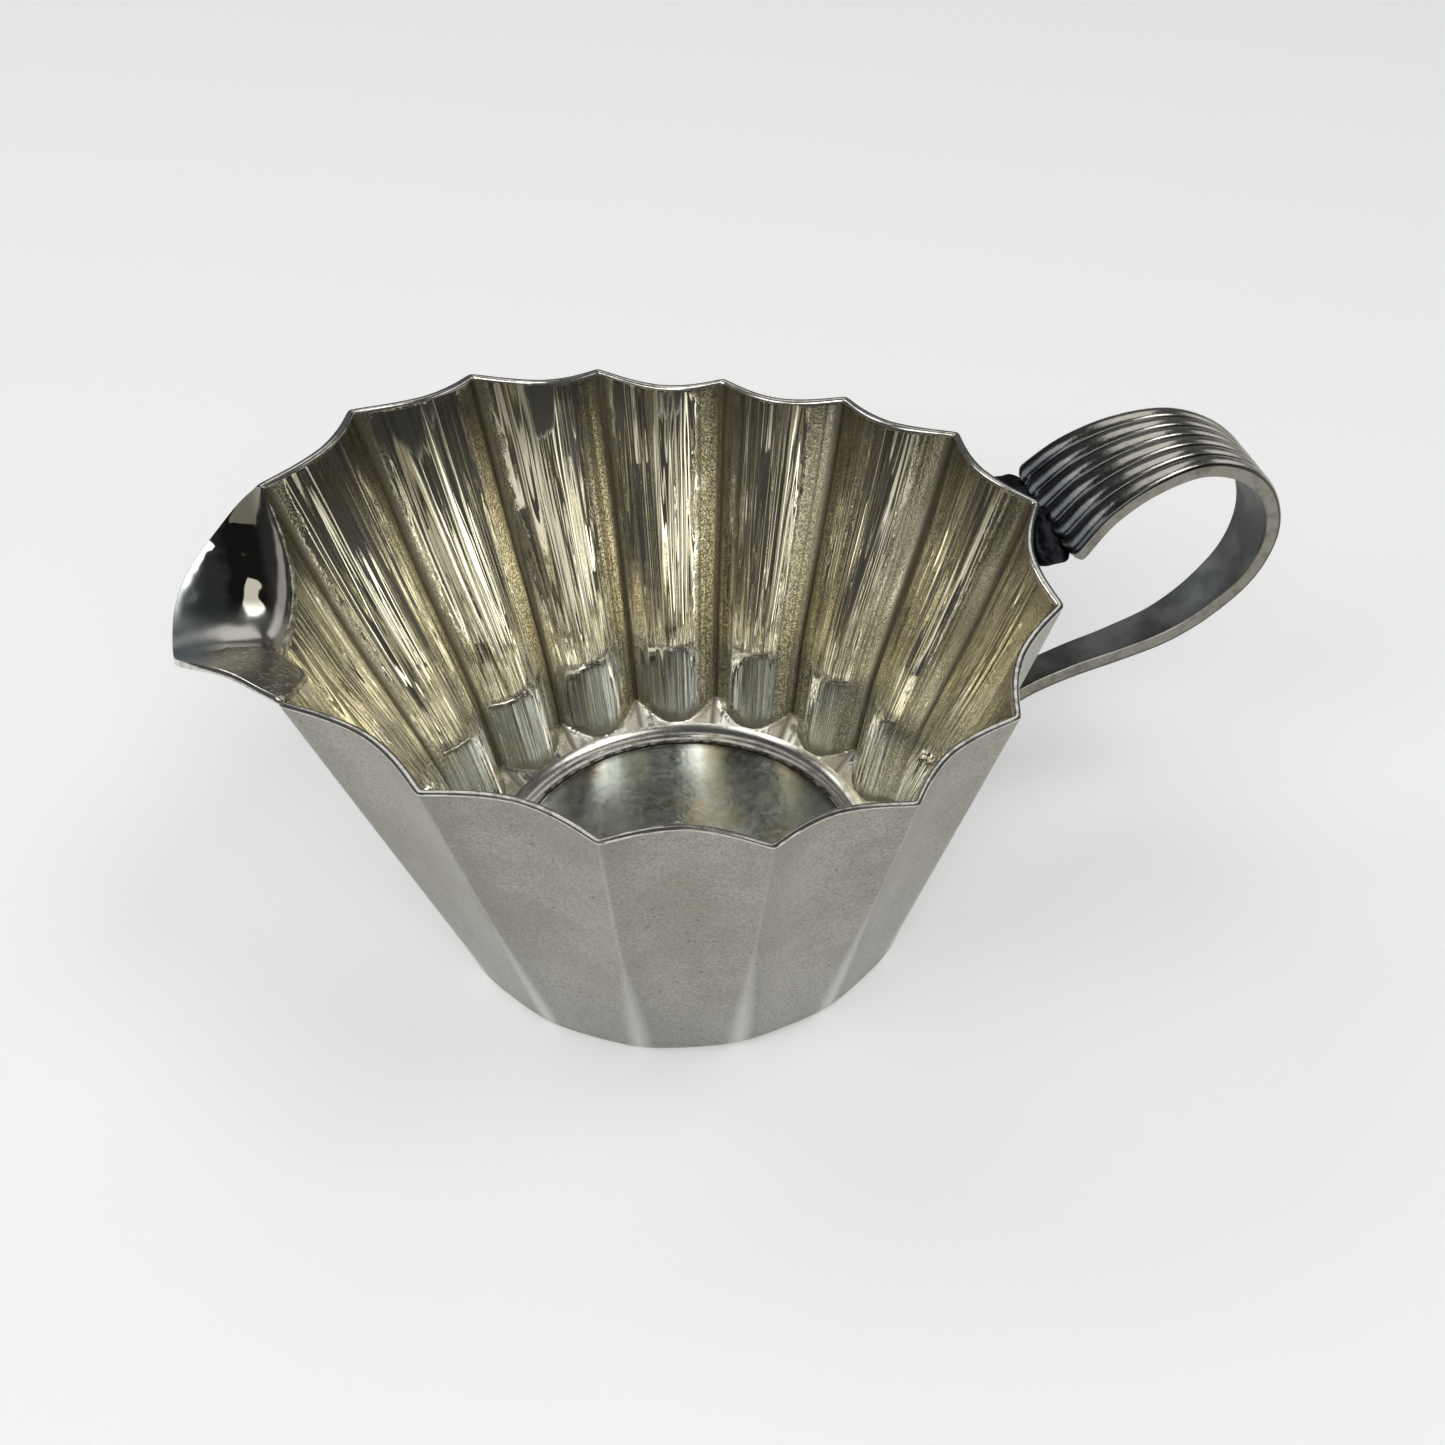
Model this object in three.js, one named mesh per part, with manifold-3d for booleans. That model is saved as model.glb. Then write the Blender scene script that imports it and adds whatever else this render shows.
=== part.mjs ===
// Silver cream jug: a fluted tapered bowl with a soldered pouring lip and a reeded strap handle.
// Millimetres, +Z up. The origin is the centre of the flat base, on the surface the jug rests on.
// +X points to the handle and -X to the pouring lip; the jug is symmetric about the XZ plane.

import * as THREE from 'three';
import Module from 'manifold-3d';
import { mergeVertices } from 'three/addons/utils/BufferGeometryUtils.js';

// ---- driving dimensions -------------------------------------------------------------------

const FLUTE_COUNT = 16;
const FLUTE_PITCH = (2 * Math.PI) / FLUTE_COUNT;

// The rim is a little egg-shaped and dips at the sides, so both are cosine series of the angle.
const RIM_RADIUS = [50.4, -1.83, 0.98, 0.09];
const RIM_HEIGHT = [56.7, -4.75, 2.37, 1.19];

// The arrises stand evenly round the base and lean a little on their way up to the longer rim:
// sine series of the angle, in degrees, at the rim.
const RIM_LEAN = [0, -1.05, 1.6];

const BASE_RADIUS = 33.0;
const CORNER_RADIUS = 2.0;
const WALL_THICKNESS = 1.3;
const FLOOR_THICKNESS = 1.5;

// Flute depth as a share of the radius, at the base and at the rim.
const FLUTE_DEPTH_BASE = 0.006;
const FLUTE_DEPTH_RIM = 0.064;
const RIB_DEPTH_BASE = 0.095;

const FLOOR_DISC_RADIUS = 25.2;
const JOINT_GAP = 0.3;
const SOLDER_GAP = 0.2;

// The wall is cut down in a soft V across two flutes, and the pouring lip fills the cut.
const SPOUT_ANGLE = Math.PI;
const NOTCH_HALF_ANGLE = FLUTE_PITCH;
const NOTCH_BOTTOM = 51.4;
const NOTCH_POWER = 1.3;
const LIP_HALF_ANGLE = THREE.MathUtils.degToRad(20);
const LIP_THICKNESS_SEAM = 1.2;
const LIP_THICKNESS_EDGE = 0.8;
const LIP_EDGE = [
  [-49.4, 19.6, 62.3],
  [-53.4, 14.0, 61.6],
  [-57.7, 9.0, 59.6],
  [-60.0, 4.7, 57.1],
  [-60.6, 0.0, 54.6],
];

// Centre line of the handle strap in the XZ plane, from the rim end to the lower end.
const STRAP_PATH = [
  [50.9, 53.0],
  [55.8, 57.5],
  [62.1, 60.4],
  [69.0, 61.0],
  [75.2, 58.4],
  [79.7, 53.3],
  [81.5, 46.7],
  [80.0, 40.1],
  [75.7, 34.8],
  [70.0, 30.8],
  [63.3, 28.6],
  [56.5, 26.9],
  [50.0, 24.6],
  [44.5, 21.3],
  [40.2, 17.6],
];
const STRAP_WIDTH_RIM = 20.5;
const STRAP_WIDTH_LOW = 4.4;
const STRAP_TAPER_POWER = 2.2;
const STRAP_THICKNESS = 1.7;
const REED_COUNT = 6;
const REED_HEIGHT = 0.6;

// ---- mesh resolution ----------------------------------------------------------------------

const STEPS_PER_FLUTE = 6;
const WALL_ROWS = 4;
const CORNER_ROWS = 3;
const LIP_COLUMNS = 20;
const LIP_ROWS = 7;
const STRAP_ROWS = 44;
const STEPS_PER_REED = 4;
const DISC_SEGMENTS = 64;

// ---- closed bodies from grids of points ---------------------------------------------------

// Geometry from points and triangles, with the triangles turned so that the faces point out.
function orientedGeometry(points, triangles) {
  let volume = 0;
  for (const [a, b, c] of triangles) {
    volume += new THREE.Vector3().crossVectors(points[b], points[c]).dot(points[a]);
  }
  const outward = volume > 0 ? triangles : triangles.map(([a, b, c]) => [a, c, b]);
  const geometry = new THREE.BufferGeometry().setFromPoints(points);
  geometry.setIndex(outward.flat());
  geometry.computeVertexNormals();
  return geometry;
}

function quad(a, b, c, d) {
  return [[a, b, c], [a, c, d]];
}

// Closed loops joined into one ring, the last loop to the first: a body shaped like a torus.
function ringSolid(loops) {
  const size = loops[0].length;
  const triangles = [];
  for (let i = 0; i < loops.length; i += 1) {
    const next = (i + 1) % loops.length;
    for (let j = 0; j < size; j += 1) {
      const k = (j + 1) % size;
      triangles.push(...quad(i * size + j, i * size + k, next * size + k, next * size + j));
    }
  }
  return orientedGeometry(loops.flat(), triangles);
}

// A sheet with thickness: two grids of the same size, joined along their four borders.
function sheetSolid(front, back) {
  const rows = front.length;
  const columns = front[0].length;
  const points = [...front.flat(), ...back.flat()];
  const offset = rows * columns;
  const at = (row, column) => row * columns + column;
  const triangles = [];
  for (let r = 0; r + 1 < rows; r += 1) {
    for (let c = 0; c + 1 < columns; c += 1) {
      const corners = [at(r, c), at(r + 1, c), at(r + 1, c + 1), at(r, c + 1)];
      triangles.push(...quad(...corners));
      triangles.push(...quad(...corners.map((index) => index + offset).reverse()));
    }
  }
  const border = [];
  for (let c = 0; c + 1 < columns; c += 1) border.push(at(0, c));
  for (let r = 0; r + 1 < rows; r += 1) border.push(at(r, columns - 1));
  for (let c = columns - 1; c > 0; c -= 1) border.push(at(rows - 1, c));
  for (let r = rows - 1; r > 0; r -= 1) border.push(at(r, 0));
  border.forEach((a, i) => {
    const b = border[(i + 1) % border.length];
    triangles.push(...quad(a, b, b + offset, a + offset));
  });
  return orientedGeometry(points, triangles);
}

// ---- shape of the bowl --------------------------------------------------------------------

function cosineSeries(terms, angle) {
  return terms.reduce((sum, term, order) => sum + term * Math.cos(order * angle), 0);
}

// 0 on an arris and 1 in the middle of a flute.
function fluteHollow(angle) {
  const turns = angle / FLUTE_PITCH;
  const across = 2 * (turns - Math.floor(turns)) - 1;
  return 1 - across * across;
}

// Radius of the arris at a height: the wall is straight from the base to the rim.
function arrisRadius(angle, z) {
  const slope = (cosineSeries(RIM_RADIUS, angle) - BASE_RADIUS) / cosineSeries(RIM_HEIGHT, angle);
  return BASE_RADIUS + slope * z;
}

function hollowedRadius(radius, angle, z, depthAtBase) {
  const share = z / cosineSeries(RIM_HEIGHT, angle);
  const depth = THREE.MathUtils.lerp(depthAtBase, FLUTE_DEPTH_RIM, share);
  return radius * (1 - depth * fluteHollow(angle));
}

function outerRadius(angle, z) {
  return hollowedRadius(arrisRadius(angle, z), angle, z, FLUTE_DEPTH_BASE);
}

function innerRadius(angle, z) {
  return hollowedRadius(arrisRadius(angle, z), angle, z, RIB_DEPTH_BASE) - WALL_THICKNESS;
}

// Height of the wall's top edge: the rim, cut down to the notch on the spout side.
function edgeHeight(angle) {
  const fromSpout = Math.abs(angle - SPOUT_ANGLE) / NOTCH_HALF_ANGLE;
  if (fromSpout >= 1) return cosineSeries(RIM_HEIGHT, angle);
  const shoulder = cosineSeries(RIM_HEIGHT, SPOUT_ANGLE - NOTCH_HALF_ANGLE);
  return THREE.MathUtils.lerp(NOTCH_BOTTOM, shoulder, fromSpout ** NOTCH_POWER);
}

// Point at a radius and height in the section that leaves the base at an angle.
function wallPoint(angle, radius, z) {
  const lean = RIM_LEAN.reduce((sum, term, order) => sum + term * Math.sin(order * angle), 0);
  const share = z / cosineSeries(RIM_HEIGHT, angle);
  const turned = angle + THREE.MathUtils.degToRad(lean) * share;
  return new THREE.Vector3(radius * Math.cos(turned), radius * Math.sin(turned), z);
}

// ---- sub-parts ----------------------------------------------------------------------------

// Section of the wall at one angle, as a closed loop: under the base flange, round the corner,
// up the outside, over the rim, down the inside and back along the flange.
function wallLoop(angle) {
  const flangeEdge = FLOOR_DISC_RADIUS + JOINT_GAP;
  const top = edgeHeight(angle);
  const cornerCentre = arrisRadius(angle, CORNER_RADIUS) - CORNER_RADIUS;
  const loop = [wallPoint(angle, flangeEdge, 0)];
  for (let i = 0; i < CORNER_ROWS; i += 1) {
    const turn = (i / CORNER_ROWS) * (Math.PI / 2);
    const radius = cornerCentre + CORNER_RADIUS * Math.sin(turn);
    const z = CORNER_RADIUS * (1 - Math.cos(turn));
    loop.push(wallPoint(angle, hollowedRadius(radius, angle, z, FLUTE_DEPTH_BASE), z));
  }
  for (let i = 0; i <= WALL_ROWS; i += 1) {
    const z = THREE.MathUtils.lerp(CORNER_RADIUS, top, i / WALL_ROWS);
    loop.push(wallPoint(angle, outerRadius(angle, z), z));
  }
  for (let i = WALL_ROWS; i >= 0; i -= 1) {
    const z = THREE.MathUtils.lerp(CORNER_RADIUS + 0.5, top, i / WALL_ROWS);
    loop.push(wallPoint(angle, innerRadius(angle, z), z));
  }
  loop.push(wallPoint(angle, innerRadius(angle, 0) - 0.2, FLOOR_THICKNESS + 0.6));
  loop.push(wallPoint(angle, flangeEdge + 0.9, FLOOR_THICKNESS));
  loop.push(wallPoint(angle, flangeEdge, FLOOR_THICKNESS));
  return loop;
}

function flutedWall() {
  const steps = FLUTE_COUNT * STEPS_PER_FLUTE;
  const loops = [];
  for (let i = 0; i < steps; i += 1) loops.push(wallLoop((i / steps) * 2 * Math.PI));
  return ringSolid(loops);
}

function floorDisc() {
  const profile = [
    new THREE.Vector2(0, 0),
    new THREE.Vector2(FLOOR_DISC_RADIUS, 0),
    new THREE.Vector2(FLOOR_DISC_RADIUS, FLOOR_THICKNESS),
    new THREE.Vector2(0, FLOOR_THICKNESS),
  ];
  return new THREE.LatheGeometry(profile, DISC_SEGMENTS).rotateX(Math.PI / 2);
}

// Low fillet of solder that covers the joint between the floor disc and the wall's flange.
function floorSolderRing() {
  const middle = FLOOR_DISC_RADIUS + JOINT_GAP / 2;
  const bottom = FLOOR_THICKNESS + SOLDER_GAP;
  const profile = [
    new THREE.Vector2(middle - 0.9, bottom),
    new THREE.Vector2(middle + 0.9, bottom),
    new THREE.Vector2(middle + 0.5, bottom + 0.4),
    new THREE.Vector2(middle - 0.5, bottom + 0.4),
    new THREE.Vector2(middle - 0.9, bottom),
  ];
  return new THREE.LatheGeometry(profile, DISC_SEGMENTS).rotateX(Math.PI / 2);
}

function notchAngle(across) {
  return SPOUT_ANGLE + across * LIP_HALF_ANGLE;
}

// Middle of the wall's thickness at a height above the notch edge.
function wallMiddle(angle, z) {
  return wallPoint(angle, (outerRadius(angle, z) + innerRadius(angle, z)) / 2, z);
}

const lipEdgeCurve = new THREE.CatmullRomCurve3([
  ...LIP_EDGE.map(([x, y, z]) => new THREE.Vector3(x, y, z)),
  ...LIP_EDGE.slice(0, -1).reverse().map(([x, y, z]) => new THREE.Vector3(x, -y, z)),
], false, 'centripetal');

// Middle surface of the lip: across runs from -1 to 1 and along from the seam, 0, to the edge, 1.
// Each line leaves the seam in the wall's own direction and rolls outward to the pouring edge.
function lipPoint(across, along) {
  const angle = notchAngle(across);
  const seamHeight = edgeHeight(angle) + JOINT_GAP;
  const start = wallMiddle(angle, seamHeight);
  const end = lipEdgeCurve.getPoint((across + 1) / 2);
  const chord = new THREE.Vector3().subVectors(end, start);
  const up = wallMiddle(angle, seamHeight + 1).sub(start).normalize().multiplyScalar(chord.length());
  const curve = new THREE.CubicBezierCurve3(
    start,
    start.clone().addScaledVector(up, 0.3),
    end.clone().addScaledVector(chord, -0.35).add(new THREE.Vector3(0, 0, 0.03 * chord.length())),
    end,
  );
  return curve.getPoint(along);
}

function surfaceNormal(surface, across, along) {
  const step = 0.01;
  const before = surface(across, Math.max(along - step, 0));
  const after = surface(across, Math.min(along + step, 1));
  const left = surface(Math.max(across - step, -1), along);
  const right = surface(Math.min(across + step, 1), along);
  return new THREE.Vector3().crossVectors(after.sub(before), right.sub(left)).normalize();
}

// One face of the lip, on the given side of its middle surface; it thins towards the edge.
function lipFace(side) {
  const grid = [];
  for (let i = 0; i <= LIP_COLUMNS; i += 1) {
    const across = (2 * i) / LIP_COLUMNS - 1;
    const line = [];
    for (let j = 0; j <= LIP_ROWS; j += 1) {
      const along = j / LIP_ROWS;
      const thickness = THREE.MathUtils.lerp(LIP_THICKNESS_SEAM, LIP_THICKNESS_EDGE, along);
      const normal = surfaceNormal(lipPoint, across, along);
      line.push(lipPoint(across, along).addScaledVector(normal, (side * thickness) / 2));
    }
    grid.push(line);
  }
  return grid;
}

function pouringLip() {
  return sheetSolid(lipFace(1), lipFace(-1));
}

// Thin bead of solder inside the bowl, along the seam between the wall and the lip.
function lipSolderSeam() {
  const halfWidth = 0.8;
  const nearSide = WALL_THICKNESS / 2 + SOLDER_GAP + 0.15;
  const thickness = 0.45;
  const bead = (across, along) => {
    const angle = notchAngle(across * 0.94);
    const z = edgeHeight(angle) + JOINT_GAP / 2 + (2 * along - 1) * halfWidth;
    return wallMiddle(angle, z);
  };
  const grid = (distance) => {
    const lines = [];
    for (let i = 0; i <= LIP_COLUMNS; i += 1) {
      const across = (2 * i) / LIP_COLUMNS - 1;
      lines.push([0, 1].map((along) => {
        const point = bead(across, along);
        const inward = new THREE.Vector3(-point.x, -point.y, 0).normalize();
        return point.addScaledVector(inward, distance);
      }));
    }
    return lines;
  };
  return sheetSolid(grid(nearSide), grid(nearSide + thickness));
}

const strapCurve = new THREE.CatmullRomCurve3(
  STRAP_PATH.map(([x, z]) => new THREE.Vector3(x, 0, z)),
  false,
  'centripetal',
);

function strapWidth(along) {
  return STRAP_WIDTH_LOW + (STRAP_WIDTH_RIM - STRAP_WIDTH_LOW) * (1 - along) ** STRAP_TAPER_POWER;
}

// Point of the strap's section, by distance from the centre line out of the handle's loop.
function strapPoint(along, across, outward) {
  const centre = strapCurve.getPointAt(along);
  const tangent = strapCurve.getTangentAt(along);
  const out = new THREE.Vector3(-tangent.z, 0, tangent.x);
  centre.y = (across * strapWidth(along)) / 2;
  return centre.addScaledVector(out, outward);
}

// Round-topped reeds run along the outer face; the inner face is plain.
function reedHeight(across) {
  const reed = ((across + 1) / 2) * REED_COUNT;
  const position = 2 * (reed - Math.floor(reed)) - 1;
  return REED_HEIGHT * Math.sqrt(Math.max(0, 1 - position * position));
}

function handleStrap() {
  const columns = REED_COUNT * STEPS_PER_REED;
  const outer = [];
  const inner = [];
  for (let i = 0; i <= STRAP_ROWS; i += 1) {
    const along = i / STRAP_ROWS;
    const outerLine = [];
    const innerLine = [];
    for (let j = 0; j <= columns; j += 1) {
      const across = (2 * j) / columns - 1;
      outerLine.push(strapPoint(along, across, STRAP_THICKNESS / 2 + reedHeight(across)));
      innerLine.push(strapPoint(along, across, -STRAP_THICKNESS / 2));
    }
    outer.push(outerLine);
    inner.push(innerLine);
  }
  return sheetSolid(outer, inner);
}

// ---- solder at the handle's ends ----------------------------------------------------------

const wasm = await Module();
wasm.setup();

function toManifold(geometry) {
  const bare = geometry.clone();
  bare.deleteAttribute('normal');
  bare.deleteAttribute('uv');
  const merged = mergeVertices(bare, 1e-4);
  return new wasm.Manifold(new wasm.Mesh({
    numProp: 3,
    vertProperties: new Float32Array(merged.attributes.position.array),
    triVerts: new Uint32Array(merged.index.array),
  }));
}

function fromManifold(solid) {
  const mesh = solid.getMesh();
  const geometry = new THREE.BufferGeometry();
  geometry.setAttribute('position', new THREE.BufferAttribute(mesh.vertProperties, 3));
  geometry.setIndex(new THREE.BufferAttribute(mesh.triVerts, 1));
  geometry.computeVertexNormals();
  return geometry;
}

// The wall as a thick ring that stands out by the solder gap, for cutting solder to fit.
function wallEnvelope() {
  const steps = FLUTE_COUNT * STEPS_PER_FLUTE;
  const heights = [5, 15, 25, 35, 45, 60];
  const loops = [];
  for (let i = 0; i < steps; i += 1) {
    const angle = (i / steps) * 2 * Math.PI;
    const outside = heights.map((z) => wallPoint(angle, outerRadius(angle, z) + SOLDER_GAP, z));
    loops.push([wallPoint(angle, BASE_RADIUS / 2, 60), wallPoint(angle, BASE_RADIUS / 2, 5), ...outside]);
  }
  return ringSolid(loops);
}

// The strap's end with the solder gap all round, for cutting solder to fit.
function strapEnvelope() {
  const outer = [];
  const inner = [];
  for (let i = 0; i <= STRAP_ROWS; i += 1) {
    const along = i / STRAP_ROWS;
    const reach = 1 + (2 * SOLDER_GAP) / strapWidth(along);
    const thickness = STRAP_THICKNESS / 2 + SOLDER_GAP;
    outer.push([-reach, reach].map((across) => strapPoint(along, across, thickness + REED_HEIGHT)));
    inner.push([-reach, reach].map((across) => strapPoint(along, across, -thickness)));
  }
  return sheetSolid(outer, inner);
}

// Blob of solder between the wall and one end of the strap: a squashed ball cut by both.
function handleSolder(centre, size) {
  const ball = new THREE.SphereGeometry(1, 20, 12);
  ball.scale(...size).translate(...centre);
  return fromManifold(toManifold(ball).subtract(wallSolid).subtract(strapSolid));
}

const wallSolid = toManifold(wallEnvelope());
const strapSolid = toManifold(strapEnvelope());

// ---- materials and assembly ---------------------------------------------------------------

const SATIN_SILVER = { color: 0x9a968a, roughness: 0.38, metalness: 1.0 };
const FLOOR_SILVER = { color: 0x8e8f82, roughness: 0.2, metalness: 1.0 };
const LIP_SILVER = { color: 0x8b8a84, roughness: 0.12, metalness: 1.0 };
const HANDLE_SILVER = { color: 0x7d7a72, roughness: 0.25, metalness: 1.0 };
const DARK_SOLDER = { color: 0x3c3b3a, roughness: 0.5, metalness: 1.0 };
const BRIGHT_SOLDER = { color: 0x9c9787, roughness: 0.4, metalness: 1.0 };

const subParts = [
  ['fluted_wall', flutedWall(), SATIN_SILVER],
  ['floor_disc', floorDisc(), FLOOR_SILVER],
  ['floor_solder_ring', floorSolderRing(), BRIGHT_SOLDER],
  ['pouring_lip', pouringLip(), LIP_SILVER],
  ['lip_solder_seam', lipSolderSeam(), BRIGHT_SOLDER],
  ['handle_strap', handleStrap(), HANDLE_SILVER],
  ['handle_upper_solder', handleSolder([49.2, 0, 52.2], [3.4, 10.0, 2.5]), DARK_SOLDER],
  ['handle_lower_solder', handleSolder([39.4, 0, 17.6], [2.4, 3.7, 3.0]), DARK_SOLDER],
];

const jug = new THREE.Group();
jug.name = 'cream_jug';
for (const [name, geometry, look] of subParts) {
  const mesh = new THREE.Mesh(geometry, new THREE.MeshStandardMaterial(look));
  mesh.name = name;
  jug.add(mesh);
}

export default jug;
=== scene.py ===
"""Silver cream jug: the visual model, in metres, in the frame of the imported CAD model.

Every CAD node is replaced by a finer piece of the same shape: the section formulas and sizes below
repeat those of the CAD model, in millimetres.
"""

import math

import bmesh
import bpy
import numpy as np
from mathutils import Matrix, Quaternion, Vector, noise


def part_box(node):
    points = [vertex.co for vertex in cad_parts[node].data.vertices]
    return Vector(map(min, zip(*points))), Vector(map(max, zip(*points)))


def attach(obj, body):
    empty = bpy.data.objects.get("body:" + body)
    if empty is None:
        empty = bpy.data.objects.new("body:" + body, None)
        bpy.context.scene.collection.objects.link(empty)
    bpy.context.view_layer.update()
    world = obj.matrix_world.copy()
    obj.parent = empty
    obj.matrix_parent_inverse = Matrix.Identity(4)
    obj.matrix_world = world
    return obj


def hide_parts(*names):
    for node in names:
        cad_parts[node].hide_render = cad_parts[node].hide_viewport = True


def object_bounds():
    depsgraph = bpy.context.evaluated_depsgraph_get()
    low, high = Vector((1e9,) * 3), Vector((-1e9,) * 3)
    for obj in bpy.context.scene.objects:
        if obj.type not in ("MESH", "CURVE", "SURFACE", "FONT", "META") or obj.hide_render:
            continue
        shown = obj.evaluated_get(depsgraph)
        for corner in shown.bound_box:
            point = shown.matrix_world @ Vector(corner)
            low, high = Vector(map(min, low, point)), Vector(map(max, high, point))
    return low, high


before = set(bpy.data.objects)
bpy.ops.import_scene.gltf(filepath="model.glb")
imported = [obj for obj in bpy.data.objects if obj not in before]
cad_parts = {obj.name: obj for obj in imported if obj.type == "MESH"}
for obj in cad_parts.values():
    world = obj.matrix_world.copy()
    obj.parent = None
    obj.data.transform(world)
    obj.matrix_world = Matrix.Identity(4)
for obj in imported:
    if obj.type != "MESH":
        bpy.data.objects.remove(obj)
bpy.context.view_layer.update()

MM = 0.001

# ---- dimensions of the CAD model, mm ---------------------------------------------------------

FLUTES = 16
PITCH = 2 * math.pi / FLUTES
# cosine terms of the rim's radius and height, and sine terms of its lean in degrees, from order 0
RIM_RADIUS = (50.4, -1.83, 0.98, 0.09)
RIM_HEIGHT = (56.7, -4.75, 2.37, 1.19)
RIM_LEAN = (0, -1.05, 1.6)
BASE_RADIUS = 33.0
CORNER_RADIUS = 2.0
WALL = 1.3
FLUTE_DEPTH_BASE = 0.006
FLUTE_DEPTH_RIM = 0.064
RIB_DEPTH_BASE = 0.095
FLOOR_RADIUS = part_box("floor_disc")[1][0] / MM
FLOOR_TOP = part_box("floor_disc")[1][2] / MM
NOTCH_BOTTOM = 51.4
NOTCH_POWER = 1.3
LIP_EDGE = (
    (-49.4, 19.6, 62.3),
    (-53.4, 14.0, 61.6),
    (-57.7, 9.0, 59.6),
    (-60.0, 4.7, 57.1),
    (-60.6, 0.0, 54.6),
)
STRAP_PATH = (
    (50.9, 53.0),
    (55.8, 57.5),
    (62.1, 60.4),
    (69.0, 61.0),
    (75.2, 58.4),
    (79.7, 53.3),
    (81.5, 46.7),
    (80.0, 40.1),
    (75.7, 34.8),
    (70.0, 30.8),
    (63.3, 28.6),
    (56.5, 26.9),
    (50.0, 24.6),
    (44.5, 21.3),
    (40.2, 17.6),
)
STRAP_WIDTH_RIM = 20.5
STRAP_WIDTH_LOW = 4.4
STRAP_TAPER = 2.2
STRAP_THICKNESS = 1.7
REEDS = 6
REED_HEIGHT = 0.6

# ---- camera and light ------------------------------------------------------------------------

# the camera's places are in mm, all other lengths here in metres
LENS = 46.22
CAMERA_PLACE = (-33.68, -181.27, 197.91)
CAMERA_AIM = (5.95, -3.05, 30.0)
CAMERA_ROLL = math.radians(-1.93)

WARM = (1.0, 0.99, 0.97)
PLAIN = (1.0, 1.0, 1.0)
CREAM = (1.0, 0.98, 0.95)
COOL = (0.96, 0.98, 1.0)
LIGHT_DISTANCE = 0.9
LIGHT_AIM_HEIGHT = 0.03
# name, azimuth (0 is the front, growing to the right), elevation, width, height, radiance, colour
SOFT_BOXES = (
    ("front_box", -8, 44, 0.72, 0.34, 3.4, WARM),
    ("left_box", -68, 46, 0.42, 0.42, 2.4, WARM),
    ("high_right_box", 57, 66, 0.34, 0.34, 3.6, WARM),
    ("right_box", 100, 26, 0.55, 0.40, 0.8, PLAIN),
    ("back_right_box", 165, 56, 0.46, 0.62, 0.9, CREAM),
    ("back_left_box", -132, 38, 0.40, 0.42, 2.4, COOL),
)
ROOM_SHADES = (
    (0.0, (0.07, 0.07, 0.07)),
    (0.35, (0.11, 0.11, 0.12)),
    (0.80, (0.05, 0.05, 0.055)),
    (1.0, (0.04, 0.045, 0.05)),
)
BACKDROP = (0.80, 0.80, 0.80)
PAPER_RADIUS = 0.8
PAPER_SINK = 0.0002
PAPER_GLOW = 0.24


def make_camera():
    """The photograph's viewpoint: 47 degrees above the table, a little to the left of square on."""
    data = bpy.data.cameras.new("camera")
    data.lens = LENS
    data.clip_start = 0.01
    camera = bpy.data.objects.new("camera", data)
    camera.location = Vector(CAMERA_PLACE) * MM
    aim = Vector(CAMERA_AIM) * MM - camera.location
    roll = Quaternion((0, 0, 1), CAMERA_ROLL)
    camera.rotation_mode = "QUATERNION"
    camera.rotation_quaternion = aim.to_track_quat("-Z", "Y") @ roll
    bpy.context.scene.collection.objects.link(camera)
    bpy.context.scene.camera = camera


def soft_box(name, azimuth, elevation, width, height, radiance, colour):
    """A rectangular light aimed at the jug."""
    data = bpy.data.lights.new(name, "AREA")
    data.shape = "RECTANGLE"
    data.size = width
    data.size_y = height
    data.energy = radiance * math.pi * width * height
    data.color = colour
    light = bpy.data.objects.new(name, data)
    turn = math.radians(azimuth)
    rise = math.radians(elevation)
    direction = Vector((
        math.sin(turn) * math.cos(rise),
        -math.cos(turn) * math.cos(rise),
        math.sin(rise),
    ))
    light.location = direction * LIGHT_DISTANCE + Vector((0, 0, LIGHT_AIM_HEIGHT))
    light.rotation_mode = "QUATERNION"
    light.rotation_quaternion = (-direction).to_track_quat("-Z", "Y")
    bpy.context.scene.collection.objects.link(light)


def make_world():
    """A plain studio: a dim room in the reflections, and a pale backdrop where it is seen."""
    world = bpy.data.worlds.new("studio")
    world.use_nodes = True
    bpy.context.scene.world = world
    nodes = Nodes(world.node_tree)
    background = world.node_tree.nodes["Background"]
    direction = nodes.add("ShaderNodeTexCoord").outputs["Generated"]
    height = nodes.split(direction)[2]
    shade = nodes.ramp(height, ROOM_SHADES)
    seen = nodes.add("ShaderNodeLightPath").outputs["Is Camera Ray"]
    nodes.link(nodes.mix(seen, shade, BACKDROP), background.inputs["Color"])
    background.inputs["Strength"].default_value = 1.0


def make_floor():
    """A round sheet of pale paper just under the jug."""
    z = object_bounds()[0][2] - PAPER_SINK
    mesh = bpy.data.meshes.new("floor")
    turns = np.linspace(0, 2 * math.pi, 96, endpoint=False)
    edge = [(PAPER_RADIUS * math.cos(t), PAPER_RADIUS * math.sin(t), z) for t in turns]
    mesh.from_pydata(edge, [], [tuple(range(len(edge)))])
    material, _, shader = new_material("floor_paper")
    shader.inputs["Base Color"].default_value = (0.93, 0.93, 0.93, 1)
    shader.inputs["Roughness"].default_value = 0.9
    shader.inputs["Specular IOR Level"].default_value = 0.0
    shader.inputs["Emission Color"].default_value = (1, 1, 1, 1)
    shader.inputs["Emission Strength"].default_value = PAPER_GLOW
    mesh.materials.append(material)
    floor = bpy.data.objects.new("floor", mesh)
    bpy.context.scene.collection.objects.link(floor)


# ---- shader nodes ----------------------------------------------------------------------------


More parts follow.
